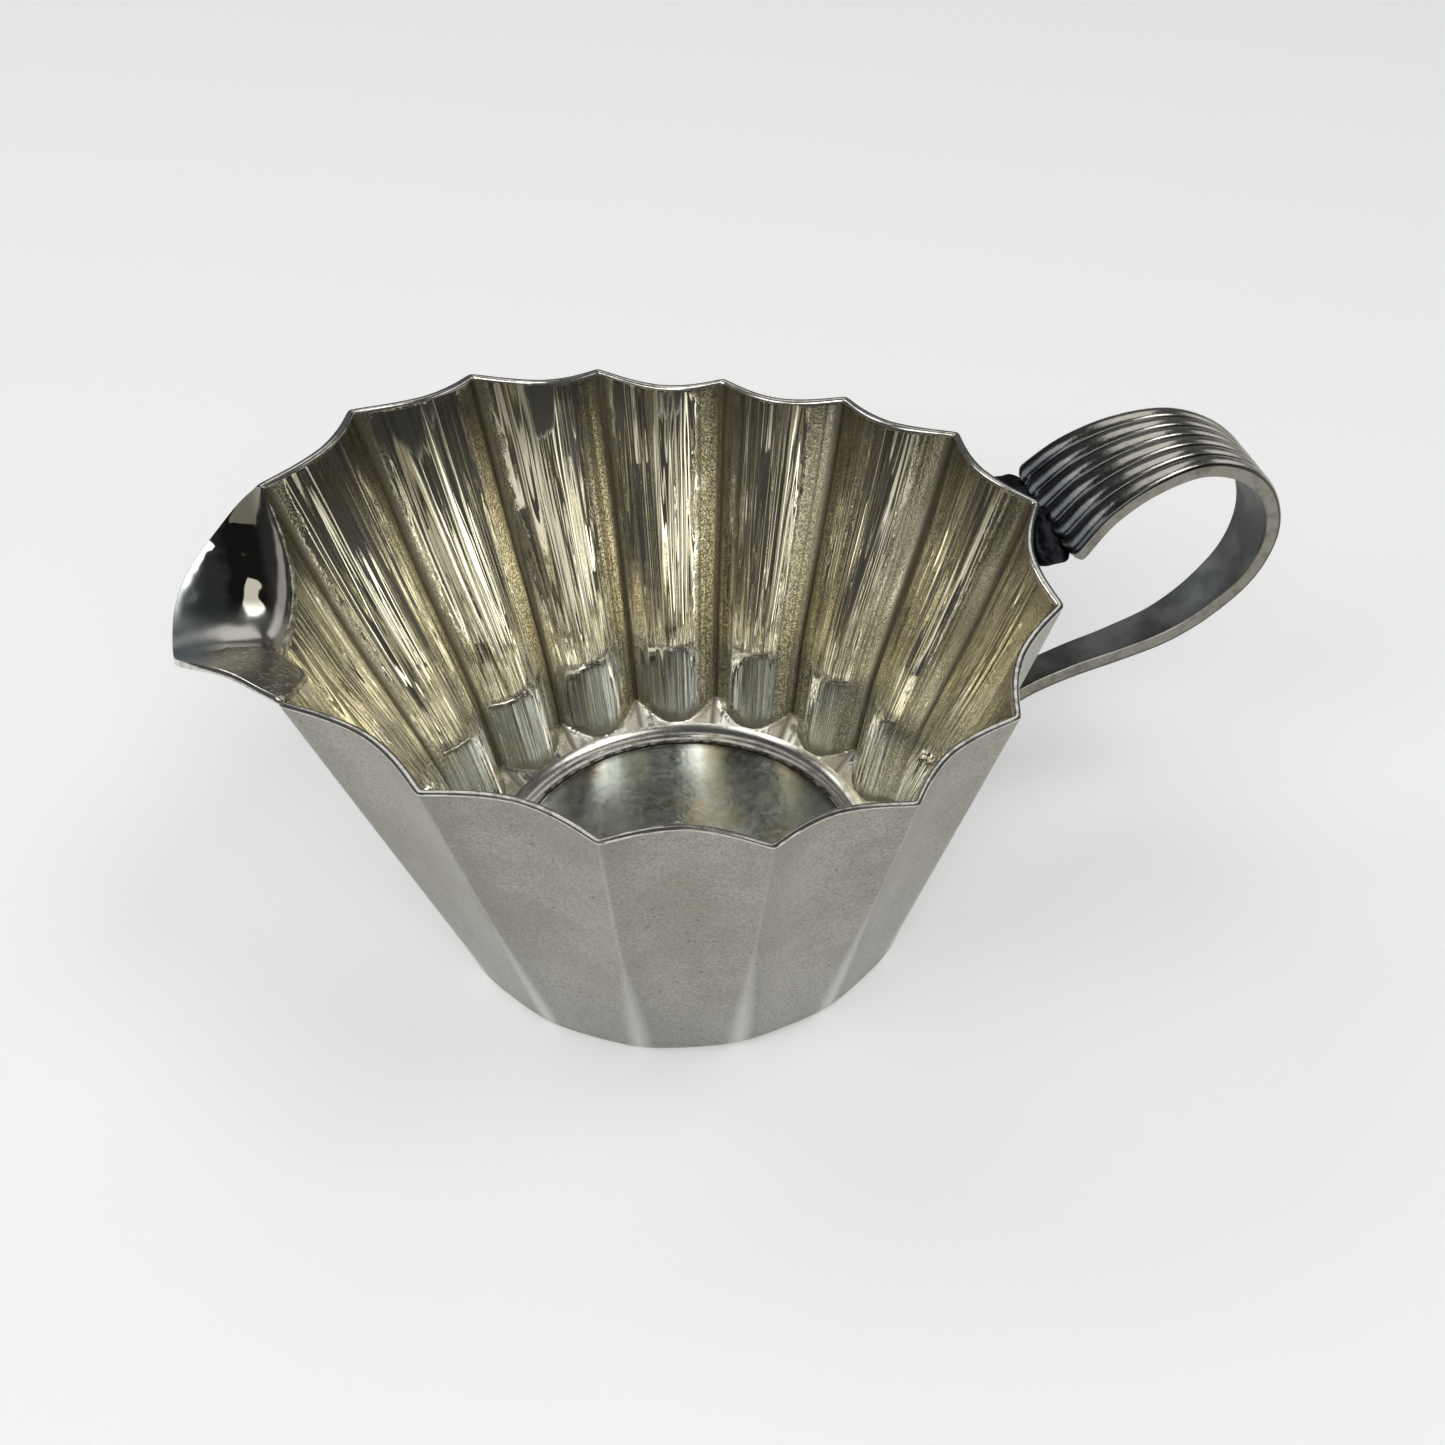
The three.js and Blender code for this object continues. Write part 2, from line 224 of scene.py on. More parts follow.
class Nodes:
    """Short calls for the node graphs of the materials."""

    def __init__(self, tree):
        self.tree = tree

    def add(self, kind, **settings):
        node = self.tree.nodes.new(kind)
        for key, value in settings.items():
            setattr(node, key, value)
        return node

    def link(self, value, socket):
        if isinstance(value, bpy.types.NodeSocket):
            self.tree.links.new(value, socket)
        elif isinstance(value, (tuple, list)) and len(value) == 3 and socket.type == "RGBA":
            socket.default_value = (*value, 1)
        else:
            socket.default_value = value

    def math(self, operation, *values, clamp=False):
        node = self.add("ShaderNodeMath", operation=operation, use_clamp=clamp)
        for socket, value in zip(node.inputs, values):
            self.link(value, socket)
        return node.outputs[0]

    def split(self, vector):
        node = self.add("ShaderNodeSeparateXYZ")
        self.link(vector, node.inputs[0])
        return node.outputs

    def join(self, x, y, z):
        node = self.add("ShaderNodeCombineXYZ")
        for socket, value in zip(node.inputs, (x, y, z)):
            self.link(value, socket)
        return node.outputs[0]

    def uv(self):
        return self.split(self.add("ShaderNodeUVMap", uv_map="sheet").outputs[0])

    def place(self):
        """Position on the object, in millimetres."""
        scaled = self.add("ShaderNodeVectorMath", operation="SCALE")
        self.link(self.add("ShaderNodeTexCoord").outputs["Object"], scaled.inputs[0])
        scaled.inputs["Scale"].default_value = 1 / MM
        return scaled.outputs[0]

    def noise(self, vector, scale, detail=2.0, roughness=0.5, distortion=0.0):
        node = self.add("ShaderNodeTexNoise")
        self.link(vector, node.inputs["Vector"])
        node.inputs["Scale"].default_value = scale
        node.inputs["Detail"].default_value = detail
        node.inputs["Roughness"].default_value = roughness
        node.inputs["Distortion"].default_value = distortion
        return node.outputs[0]

    def spots(self, vector, scale):
        """Distance to the nearest of scattered points."""
        node = self.add("ShaderNodeTexVoronoi")
        self.link(vector, node.inputs["Vector"])
        node.inputs["Scale"].default_value = scale
        return node.outputs["Distance"]

    def step(self, value, low, high, start=0.0, end=1.0):
        """Smooth change from start to end as value goes from low to high."""
        node = self.add("ShaderNodeMapRange", interpolation_type="SMOOTHSTEP")
        for socket, entry in zip(node.inputs, (value, low, high, start, end)):
            self.link(entry, socket)
        return node.outputs[0]

    def ramp(self, value, stops):
        node = self.add("ShaderNodeValToRGB")
        elements = node.color_ramp.elements
        while len(elements) < len(stops):
            elements.new(0.5)
        for element, (position, colour) in zip(elements, stops):
            element.position = position
            element.color = (*colour, 1)
        self.link(value, node.inputs[0])
        return node.outputs[0]

    def mix(self, factor, first, second, blend="MIX"):
        node = self.add("ShaderNodeMix", data_type="RGBA", blend_type=blend)
        self.link(factor, node.inputs["Factor"])
        self.link(first, node.inputs[6])
        self.link(second, node.inputs[7])
        return node.outputs[2]

    def bump(self, height, distance, normal=None):
        """Relief from a height of 0 to 1 that stands for a distance in millimetres."""
        node = self.add("ShaderNodeBump")
        self.link(height, node.inputs["Height"])
        node.inputs["Distance"].default_value = distance * MM
        node.inputs["Strength"].default_value = 1.0
        if normal is not None:
            self.link(normal, node.inputs["Normal"])
        return node.outputs[0]


def new_material(name):
    material = bpy.data.materials.new(name)
    material.use_nodes = True
    shader = material.node_tree.nodes["Principled BSDF"]
    return material, Nodes(material.node_tree), shader


def silver(name):
    material, nodes, shader = new_material(name)
    shader.inputs["Metallic"].default_value = 1.0
    return material, nodes, shader


def across_flute(nodes, u):
    """0 in the middle of a flute or reed and 1 at its edge, with u counting flutes or reeds."""
    inside = nodes.math("FRACT", u)
    return nodes.math("ABSOLUTE", nodes.math("MULTIPLY_ADD", inside, 2.0, -1.0))


# ---- materials -------------------------------------------------------------------------------

PIT_BROWN = (0.10, 0.09, 0.075)
# light tone, dark tone, noise scale, least roughness and its spread, relief in mm
RIM_LOOK = ((0.66, 0.65, 0.60), (0.42, 0.40, 0.35), 0.8, (0.08, 0.2), 0.02)
LEDGE_LOOK = ((0.72, 0.70, 0.64), (0.46, 0.43, 0.36), 0.4, (0.12, 0.2), 0.012)
STRAP_SIDE_LOOK = ((0.28, 0.27, 0.23), (0.19, 0.18, 0.15), 0.5, (0.22, 0.2), 0.01)
# dark tone, light tone, relief in mm
BRIGHT_SOLDER_LOOK = ((0.30, 0.27, 0.20), (0.82, 0.80, 0.72), 0.25)
JOINT_SOLDER_LOOK = ((0.08, 0.07, 0.05), (0.42, 0.40, 0.33), 0.08)
DARK_SOLDER_LOOK = ((0.012, 0.014, 0.018), (0.035, 0.04, 0.048), 0.06)


def pits(nodes, place, grain):
    """Small dark pits in loose groups, their outlines broken up by the grain."""
    group = nodes.step(nodes.noise(place, 0.16, detail=1.0), 0.50, 0.60)
    ragged = nodes.step(grain, 0.50, 0.56)
    spots = nodes.step(nodes.spots(place, 0.9), 0.30, 0.16)
    return nodes.math("MULTIPLY", spots, nodes.math("MULTIPLY", group, ragged))


def outside_silver():
    """Satin silver, brushed round the jug: cloudy and pitted, with a painted highlight on the
    arrises low down, painted shade beside each arris and a painted cool reflection low down.
    """
    material, nodes, shader = silver("outside_silver")
    u, v, _ = nodes.uv()
    place = nodes.place()
    brushed = nodes.join(nodes.math("MULTIPLY", u, 2.0), nodes.math("MULTIPLY", v, 900.0), 0.0)
    lines = nodes.noise(brushed, 1.0, detail=4.0, roughness=0.7)
    cloud = nodes.noise(place, 0.07, detail=5.0, roughness=0.65)
    grain = nodes.noise(place, 2.8, detail=4.0, roughness=0.7)
    across = across_flute(nodes, u)
    low = nodes.step(v, 0.34, 0.0)
    arris = nodes.step(across, nodes.math("MULTIPLY_ADD", low, -0.30, 0.955), 1.0)
    painted_arris_highlight = nodes.math("MULTIPLY", arris, nodes.math("MULTIPLY_ADD", low, 0.55, 0.10))
    side = nodes.step(nodes.math("FRACT", u), 0.30, 0.04)
    tone = nodes.mix(nodes.step(cloud, 0.38, 0.60), (0.335, 0.325, 0.27), (0.425, 0.415, 0.36))
    # painted reflection: the wall turns a cool blue-grey low down, standing in for cool light seen
    # in it
    tone = nodes.mix(nodes.math("MULTIPLY", low, 0.45), tone, (0.36, 0.37, 0.385))
    tone = nodes.mix(nodes.step(grain, 0.40, 0.62, 0.0, 0.62), tone, (0.20, 0.19, 0.16))
    tone = nodes.mix(nodes.step(lines, 0.45, 0.70, 0.0, 0.20), tone, (0.24, 0.23, 0.20))
    # painted shade: a darker band beside one side of each arris
    tone = nodes.mix(nodes.math("MULTIPLY", side, 0.30), tone, (0.17, 0.17, 0.165))
    tone = nodes.mix(nodes.math("MULTIPLY", pits(nodes, place, grain), 0.7), tone, PIT_BROWN)
    # painted highlight: a pale tone along the arrises, widest and strongest low down
    tone = nodes.mix(painted_arris_highlight, tone, (0.66, 0.66, 0.63))
    nodes.link(tone, shader.inputs["Base Color"])
    rough = nodes.math("MULTIPLY_ADD", lines, 0.16, 0.24)
    rough = nodes.math("MULTIPLY_ADD", cloud, 0.08, rough)
    nodes.link(nodes.math("MULTIPLY_ADD", arris, -0.1, rough), shader.inputs["Roughness"])
    relief = nodes.bump(lines, 0.006)
    relief = nodes.bump(grain, 0.012, normal=relief)
    nodes.link(relief, shader.inputs["Normal"])
    return material


def rib_streaks(nodes, u, v, repeats, detail=0.0, distortion=0.0):
    """Noise drawn out along the ribs: its repeats per flute and per 100 mm, and its own layer."""
    across, along, layer = repeats
    place = nodes.join(nodes.math("MULTIPLY", u, across), nodes.math("MULTIPLY", v, along), layer)
    return nodes.noise(place, 1.0, detail=detail, distortion=distortion)


def inside_silver():
    """Ribbed inside: a rippled polished strip on each rib, grainy sides, painted shade in the
    grooves and near the rim, and a painted reflection of the floor low down.
    """
    material, nodes, shader = silver("inside_silver")
    u, v, _ = nodes.uv()
    place = nodes.place()
    wander = nodes.math("MULTIPLY_ADD", nodes.noise(place, 0.30, detail=3.0), 0.24, -0.12)
    share = nodes.math("ADD", nodes.math("FRACT", u), wander)
    clean_across = across_flute(nodes, u)
    grainy = nodes.math("ADD", nodes.step(share, 0.25, 0.16),
                        nodes.step(share, 0.90, 0.96, 0.0, 0.5), clamp=True)
    beside_handle = nodes.step(nodes.split(place)[0], 20.0, 36.0, 1.0, 0.35)
    grainy = nodes.math("MULTIPLY", grainy, beside_handle)
    groove_shade = nodes.step(clean_across, 0.88, 0.99)

    ripple = rib_streaks(nodes, u, v, (8.0, 1.3, 0.0), distortion=0.3)
    creases = rib_streaks(nodes, u, v, (20.0, 1.2, 7.0))
    threads = rib_streaks(nodes, u, v, (26.0, 1.2, 3.0), detail=1.0)
    sand = nodes.noise(place, 3.4, detail=1.0, roughness=0.5)
    cloud = nodes.noise(place, 0.09, detail=3.0)

    rim_shade = nodes.step(v, 0.40, 0.58)
    low = nodes.step(v, 0.19, 0.14)
    tone = nodes.mix(cloud, (0.82, 0.795, 0.66), (0.95, 0.93, 0.83))
    tone = nodes.mix(nodes.step(threads, 0.57, 0.67, 0.0, 0.42), tone, (0.28, 0.25, 0.17))
    # painted reflection: the ribs turn neutral grey below about 14 mm, fading out by 19 mm, standing
    # in for the floor seen in them
    tone = nodes.mix(nodes.math("MULTIPLY", low, 0.7), tone, (0.80, 0.81, 0.81))
    gold = nodes.mix(nodes.step(sand, 0.42, 0.60), (0.32, 0.27, 0.16), (0.95, 0.90, 0.66))
    gold = nodes.mix(nodes.step(threads, 0.48, 0.60, 0.0, 0.6), gold, (0.20, 0.165, 0.09))
    tone = nodes.mix(nodes.math("MULTIPLY", grainy, 0.85), tone, gold)
    # painted shade: the grooves between the ribs darkened to brown
    tone = nodes.mix(nodes.math("MULTIPLY", groove_shade, 0.85), tone, (0.11, 0.09, 0.055))
    tone = nodes.mix(nodes.math("MULTIPLY", rim_shade, 0.6), tone, (0.19, 0.17, 0.12))
    foot = nodes.step(v, 0.055, 0.038)
    tone = nodes.mix(nodes.math("MULTIPLY", foot, 0.8), tone, (0.40, 0.38, 0.31))
    nodes.link(tone, shader.inputs["Base Color"])
    rough = nodes.math("MULTIPLY_ADD", grainy, 0.17, 0.02)
    rough = nodes.math("MULTIPLY_ADD", foot, 0.25, rough)
    rough = nodes.math("MULTIPLY_ADD", groove_shade, 0.30, rough)
    rough = nodes.math("MULTIPLY_ADD", rim_shade, 0.05, rough)
    nodes.link(rough, shader.inputs["Roughness"])
    relief = nodes.bump(ripple, 0.30)
    relief = nodes.bump(creases, 0.05, normal=relief)
    relief = nodes.bump(nodes.math("MULTIPLY", sand, grainy), 0.06, normal=relief)
    nodes.link(relief, shader.inputs["Normal"])
    return material


def worn_silver(name, light, dark, scale, roughness, relief):
    """Plain silver with darker worn or stained specks; roughness is its least and its spread."""
    material, nodes, shader = silver(name)
    least, spread = roughness
    wear = nodes.noise(nodes.place(), scale, detail=3.0, roughness=0.6)
    nodes.link(nodes.mix(nodes.step(wear, 0.45, 0.70), light, dark), shader.inputs["Base Color"])
    nodes.link(nodes.math("MULTIPLY_ADD", wear, spread, least), shader.inputs["Roughness"])
    nodes.link(nodes.bump(wear, relief), shader.inputs["Normal"])
    return material


def floor_silver():
    """Smooth grey-green floor with curved brush marks and a few warm stains."""
    material, nodes, shader = silver("floor_silver")
    place = nodes.place()
    swirl = nodes.noise(place, 0.35, detail=5.0, roughness=0.65, distortion=2.5)
    stain = nodes.noise(place, 0.11, detail=2.0)
    x, y, _ = nodes.split(place)
    radius = nodes.math("SQRT", nodes.math("ADD", nodes.math("MULTIPLY", x, x),
                                           nodes.math("MULTIPLY", y, y)))
    rings = nodes.noise(nodes.join(nodes.math("MULTIPLY", radius, 2.5), 0.0, 0.0), 1.0, detail=3.0)
    tone = nodes.mix(swirl, (0.38, 0.41, 0.37), (0.54, 0.57, 0.54))
    tone = nodes.mix(nodes.step(stain, 0.52, 0.68, 0.0, 0.6), tone, (0.52, 0.44, 0.30))
    edge = nodes.step(radius, FLOOR_RADIUS - 1.6, FLOOR_RADIUS - 0.2)
    tone = nodes.mix(nodes.math("MULTIPLY", edge, 0.8), tone, (0.10, 0.09, 0.07))
    nodes.link(tone, shader.inputs["Base Color"])
    nodes.link(nodes.math("MULTIPLY_ADD", swirl, 0.24, 0.10), shader.inputs["Roughness"])
    relief = nodes.bump(swirl, 0.03)
    nodes.link(nodes.bump(rings, 0.01, normal=relief), shader.inputs["Normal"])
    return material


def lip_near_strip(nodes, place, x, y):
    """The near side of the lip, with a ragged border along the middle."""
    ragged = nodes.math("MULTIPLY_ADD", nodes.noise(place, 0.8, detail=2.0), 3.0, y)
    return nodes.math("MULTIPLY", nodes.step(ragged, -0.6, -1.4), nodes.step(x, -57.5, -54.0))


def lip_flecks(nodes, place):
    cluster = nodes.step(nodes.noise(place, 0.35, detail=1.0), 0.36, 0.52)
    flecks = nodes.step(nodes.noise(place, 1.3, detail=3.0, roughness=0.7), 0.53, 0.60)
    return nodes.math("MULTIPLY", flecks, cluster)


def lip_painted_dark_reflection(nodes, place, x, y):
    """Painted dark reflection on the far side of the lip, weaker beside the seam."""
    blotch = nodes.math("MULTIPLY_ADD", nodes.noise(place, 0.45, detail=2.0), 4.0, x)
    far = nodes.math("MULTIPLY", nodes.step(y, 3.0, 5.5), nodes.step(blotch, -52.4, -50.2))
    return nodes.math("MULTIPLY", far, nodes.step(x, -49.2, -47.4, 0.85, 0.55))


def lip_silver():
    """Polished lip: a painted dark reflection on the far side, a dull flecked strip on the near side
    and a tarnished tip.
    """
    material, nodes, shader = silver("lip_silver")
    place = nodes.place()
    wave = nodes.noise(place, 0.12, detail=2.0)
    marks = nodes.noise(place, 1.6, detail=4.0, roughness=0.7)
    x, y, _ = nodes.split(place)
    tip = nodes.step(x, -54.0, -59.0)
    soft = nodes.step(y, 5.2, 2.4)
    near = lip_near_strip(nodes, place, x, y)
    specks = lip_flecks(nodes, place)
    painted_dark_reflection = lip_painted_dark_reflection(nodes, place, x, y)
    tone = nodes.mix(marks, (0.48, 0.46, 0.41), (0.58, 0.57, 0.53))
    # painted reflection: a dark patch on the far side of the lip stands in for the dark surroundings
    # seen in it
    tone = nodes.mix(painted_dark_reflection, tone, (0.07, 0.065, 0.045))
    brown = nodes.mix(specks, (0.34, 0.30, 0.22), (0.85, 0.81, 0.70))
    tone = nodes.mix(nodes.math("MULTIPLY", near, 0.85), tone, brown)
    tone = nodes.mix(nodes.math("MULTIPLY", tip, 0.6), tone, (0.30, 0.37, 0.41))
    nodes.link(tone, shader.inputs["Base Color"])
    rough = nodes.math("MULTIPLY_ADD", near, 0.14, 0.04)
    rough = nodes.math("MULTIPLY_ADD", soft, 0.17, rough)
    rough = nodes.math("ADD", nodes.step(x, -49.4, -47.8, 0.0, 0.12), rough)
    nodes.link(nodes.math("MULTIPLY_ADD", tip, 0.12, rough), shader.inputs["Roughness"])
    relief = nodes.bump(wave, 0.42)
    nodes.link(nodes.bump(near, 0.10, normal=relief), shader.inputs["Normal"])
    return material


def handle_silver():
    """Worn reeds: bright on top, painted shade between them and a blue-black bloom at the rim end.
    """
    material, nodes, shader = silver("handle_silver")
    u, v, _ = nodes.uv()
    place = nodes.place()
    across = across_flute(nodes, u)
    marks = nodes.noise(place, 1.1, detail=3.0, roughness=0.6)
    root = nodes.step(nodes.math("MULTIPLY_ADD", marks, 0.05, v), 0.22, 0.05)
    polished = nodes.step(v, 0.32, 0.20)
    groove_shade = nodes.step(nodes.math("MULTIPLY_ADD", marks, 0.12, across), 0.74, 0.99)
    tone = nodes.mix(marks, (0.48, 0.465, 0.40), (0.68, 0.66, 0.585))
    # painted shade: the grooves between the reeds darkened almost to black
    tone = nodes.mix(nodes.math("MULTIPLY", groove_shade, 0.92), tone, (0.04, 0.04, 0.038))
    tone = nodes.mix(nodes.math("MULTIPLY", root, 0.94), tone, (0.035, 0.04, 0.048))
    nodes.link(tone, shader.inputs["Base Color"])
    rough = nodes.math("MULTIPLY_ADD", polished, -0.17, 0.30)
    nodes.link(nodes.math("MULTIPLY_ADD", marks, 0.14, rough), shader.inputs["Roughness"])
    nodes.link(nodes.bump(marks, 0.02), shader.inputs["Normal"])
    return material


def handle_inner_silver():
    """Plain inner face of the strap: dull grey-green with darker worn patches."""
    material, nodes, shader = silver("handle_inner_silver")
    place = nodes.place()
    patches = nodes.noise(place, 0.12, detail=3.0)
    marks = nodes.noise(place, 1.4, detail=4.0, roughness=0.7)
    tone = nodes.mix(nodes.step(patches, 0.45, 0.62), (0.17, 0.18, 0.175), (0.07, 0.078, 0.075))
    tone = nodes.mix(nodes.math("MULTIPLY", marks, 0.4), tone, (0.22, 0.23, 0.21))
    nodes.link(tone, shader.inputs["Base Color"])
    nodes.link(nodes.math("MULTIPLY_ADD", marks, 0.22, 0.36), shader.inputs["Roughness"])
    nodes.link(nodes.bump(marks, 0.02), shader.inputs["Normal"])
    return material


def solder_silver(name, dark, light, relief):
    material, nodes, shader = silver(name)
    lumps = nodes.noise(nodes.place(), 0.8, detail=4.0, roughness=0.6)
    tone = nodes.mix(nodes.step(lumps, 0.40, 0.66), dark, light)
    nodes.link(tone, shader.inputs["Base Color"])
    nodes.link(nodes.math("MULTIPLY_ADD", lumps, 0.35, 0.12), shader.inputs["Roughness"])
    nodes.link(nodes.bump(lumps, relief), shader.inputs["Normal"])
    return material


# ---- meshes from grids -----------------------------------------------------------------------

SHARP_ANGLE = math.radians(32)
WELD_DISTANCE = 1e-6
SLIVER_LENGTH = 1e-7
LATHE_STEPS = 192
SPLINE_STEPS = 40


def grid_object(name, points, texture, materials, slots=None):
    """Object from a grid of points, mm, with one texture point each. Points that meet are welded."""
    rows, columns = points.shape[:2]
    index = np.arange(rows * columns).reshape(rows, columns)
    corners = (index[:-1, :-1], index[1:, :-1], index[1:, 1:], index[:-1, 1:])
    faces = np.stack(corners, axis=-1).reshape(-1, 4)
    mesh = bpy.data.meshes.new(name)
    mesh.from_pydata((points.reshape(-1, 3) * MM).tolist(), [], faces.tolist())
    layer = mesh.uv_layers.new(name="sheet")
    layer.data.foreach_set("uv", texture.reshape(-1, 2)[faces.reshape(-1)].reshape(-1))
    for material in materials:
        mesh.materials.append(material)
    if slots is not None:
        per_face = np.broadcast_to(np.asarray(slots), (rows - 1, columns - 1))
        mesh.polygons.foreach_set("material_index", per_face.reshape(-1).astype(np.int32))
    finish_mesh(mesh)
    piece = bpy.data.objects.new(name, mesh)
    bpy.context.scene.collection.objects.link(piece)
    return piece


def finish_mesh(mesh):
    """Weld the seams, close open ends, turn the faces out and shade smooth but for sharp edges."""
    work = bmesh.new()
    work.from_mesh(mesh)
    bmesh.ops.remove_doubles(work, verts=work.verts, dist=WELD_DISTANCE)
    bmesh.ops.dissolve_degenerate(work, edges=work.edges, dist=SLIVER_LENGTH)
    bmesh.ops.holes_fill(work, edges=[e for e in work.edges if e.is_boundary], sides=0)
    bmesh.ops.recalc_face_normals(work, faces=work.faces)
    for face in work.faces:
        face.smooth = True
    work.to_mesh(mesh)
    work.free()
    mesh.set_sharp_from_angle(angle=SHARP_ANGLE)


def settle(piece, node):
    """Hand a piece its body and hide the node it stands for."""
    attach(piece, "root")
    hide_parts(node)


def smoothstep(value, low, high):
    share = np.clip((value - low) / (high - low), 0, 1)
    return share * share * (3 - 2 * share)


def lerp(first, second, share):
    return first + (second - first) * share


def spline(points, count):
    """Centripetal Catmull-Rom curve through points, sampled evenly by length."""
    points = np.asarray(points, dtype=float)
    ends = np.vstack((2 * points[0] - points[1], points, 2 * points[-1] - points[-2]))
    samples = []
    for a, b, c, d in zip(ends, ends[1:], ends[2:], ends[3:]):
        t1 = np.linalg.norm(b - a) ** 0.5
        t2 = t1 + np.linalg.norm(c - b) ** 0.5
        t3 = t2 + np.linalg.norm(d - c) ** 0.5
        for t in np.linspace(t1, t2, SPLINE_STEPS, endpoint=False):
            ab = lerp(a, b, t / t1)
            bc = lerp(b, c, (t - t1) / (t2 - t1))
            cd = lerp(c, d, (t - t2) / (t3 - t2))
            samples.append(lerp(lerp(ab, bc, t / t2), lerp(bc, cd, (t - t1) / (t3 - t1)),
                                (t - t1) / (t2 - t1)))
    samples = np.array(samples + [points[-1]])
    length = np.concatenate(([0], np.cumsum(np.linalg.norm(np.diff(samples, axis=0), axis=1))))
    wanted = np.linspace(0, length[-1], count)
    return np.stack([np.interp(wanted, length, samples[:, k]) for k in range(3)], axis=1)


def waviness(points, size, height, seed):
    """A smooth random number for each point: the dents of work done by hand."""
    offset = Vector((seed * 17.3, seed * 5.1, seed * 9.7))
    flat = points.reshape(-1, 3)
    values = [noise.noise(Vector(point) / size + offset) for point in flat.tolist()]
    return height * np.array(values).reshape(points.shape[:-1])


# ---- bowl ------------------------------------------------------------------------------------

OUTSIDE, RIM, INSIDE, LEDGE = range(4)

STEPS_PER_FLUTE = 26
ARRIS_ROUNDING_BASE = 0.10
ARRIS_ROUNDING_RIM = 0.022
GROOVE_ROUNDING = 0.012
BOW = 1.75
BOW_BOTTOM = 14
BOW_TOP = 44
FOOT_TAPER = 0.06
FOOT_HEIGHT = 16
RIM_THINNING = 0.35
THINNING_BOTTOM = 28
ROUND_OVER = 0.34
FLANGE_GAP = 0.3
FLANGE_TOP = 1.2
RIB_FOOT = 9.5
RIB_END = 2.6
RIB_END_RISE = 2.2
RIB_END_POWER = 2.6
FILLET_CENTRE = (26.2, 4.6)
FILLET_RADIUS = 3.1
FILLET_TURN = math.radians(40)
DENT_SIZE = 9.0
DENT_DEPTH = 0.10
FLOOR_ROUNDING = 0.35
FLOOR_SIDE_BELOW_TOP = 0.45
DISH_RIM_BELOW_TOP = 0.10
DISH_DEPTH = 0.12
DISH_MARGIN = 0.6
FLOOR_SOLDER_OUT = 0.15
FLOOR_SOLDER_SINK = 0.16
FLOOR_SOLDER_HALF_WIDTH = 0.26
FLOOR_SOLDER_HALF_HEIGHT = 0.14


def cosine_series(terms, angle):
    return sum(term * np.cos(order * angle) for order, term in enumerate(terms))


def flute_hollow(angle, rounding=0.0):
    """0 on an arris and 1 in the middle of a flute, the arris rounded over a share of the pitch."""
    turns = angle / PITCH
    from_arris = np.abs(turns - np.round(turns))
    soft = np.sqrt(from_arris**2 + rounding**2) - rounding
    return 4 * soft * (1 - soft)


def arris_radius(angle, z):
    slope = (cosine_series(RIM_RADIUS, angle) - BASE_RADIUS) / cosine_series(RIM_HEIGHT, angle)
    return BASE_RADIUS + slope * z


def hollowed(radius, angle, z, base_depth, rounding=0.0):
    depth = lerp(base_depth, FLUTE_DEPTH_RIM, z / cosine_series(RIM_HEIGHT, angle))
    return radius * (1 - depth * flute_hollow(angle, rounding))


def outer_radius(angle, z):
    rounding = lerp(ARRIS_ROUNDING_BASE, ARRIS_ROUNDING_RIM, smoothstep(z, 0.0, 50.0))
    return hollowed(arris_radius(angle, z), angle, z, FLUTE_DEPTH_BASE, rounding)


def inner_radius(angle, z):
    """Inner face: the wall is thickest low down, and thins to a fine edge at the rim."""
    bow = BOW * (1 - smoothstep(z, BOW_BOTTOM, BOW_TOP))
    low = bow - FOOT_TAPER * np.clip(FOOT_HEIGHT - z, 0, FOOT_HEIGHT)
    thin = RIM_THINNING * smoothstep(z, THINNING_BOTTOM, edge_height(angle))
    ribbed = hollowed(arris_radius(angle, z), angle, z, RIB_DEPTH_BASE, GROOVE_ROUNDING)
    return ribbed - WALL - low + thin


def wall_point(angle, radius, z):
    lean = sum(term * np.sin(order * angle) for order, term in enumerate(RIM_LEAN))
    turned = angle + np.radians(lean) * z / cosine_series(RIM_HEIGHT, angle)
    return np.stack((radius * np.cos(turned), radius * np.sin(turned), z), axis=-1)


def edge_height(angle):
    """Height of the wall's top edge, with the V that the lip fills."""
    shoulder = cosine_series(RIM_HEIGHT, np.pi - PITCH)
    share = np.abs(angle - np.pi) / PITCH
    notch = lerp(NOTCH_BOTTOM, shoulder, np.minimum(share, 1) ** NOTCH_POWER)
    return np.where(share < 1, notch, cosine_series(RIM_HEIGHT, angle))


def fillet_radius(z):
    """Radius of the ledge inside: it rises from the floor in an arc and goes on up as a cone."""
    arc_top = FILLET_CENTRE[1] - FILLET_RADIUS * math.cos(FILLET_TURN)
    arc_radius = FILLET_CENTRE[0] + FILLET_RADIUS * math.sin(FILLET_TURN)
    return arc_radius + (z - arc_top) / math.tan(FILLET_TURN)


def bowl_angles():
    """Angles round the bowl, closer together near the arrises."""
    share = 0.5 - 0.5 * np.cos(np.pi * np.arange(STEPS_PER_FLUTE) / STEPS_PER_FLUTE)
    angles = [(flute + share) * PITCH for flute in range(FLUTES)]
    return np.concatenate(angles + [[2 * np.pi]])


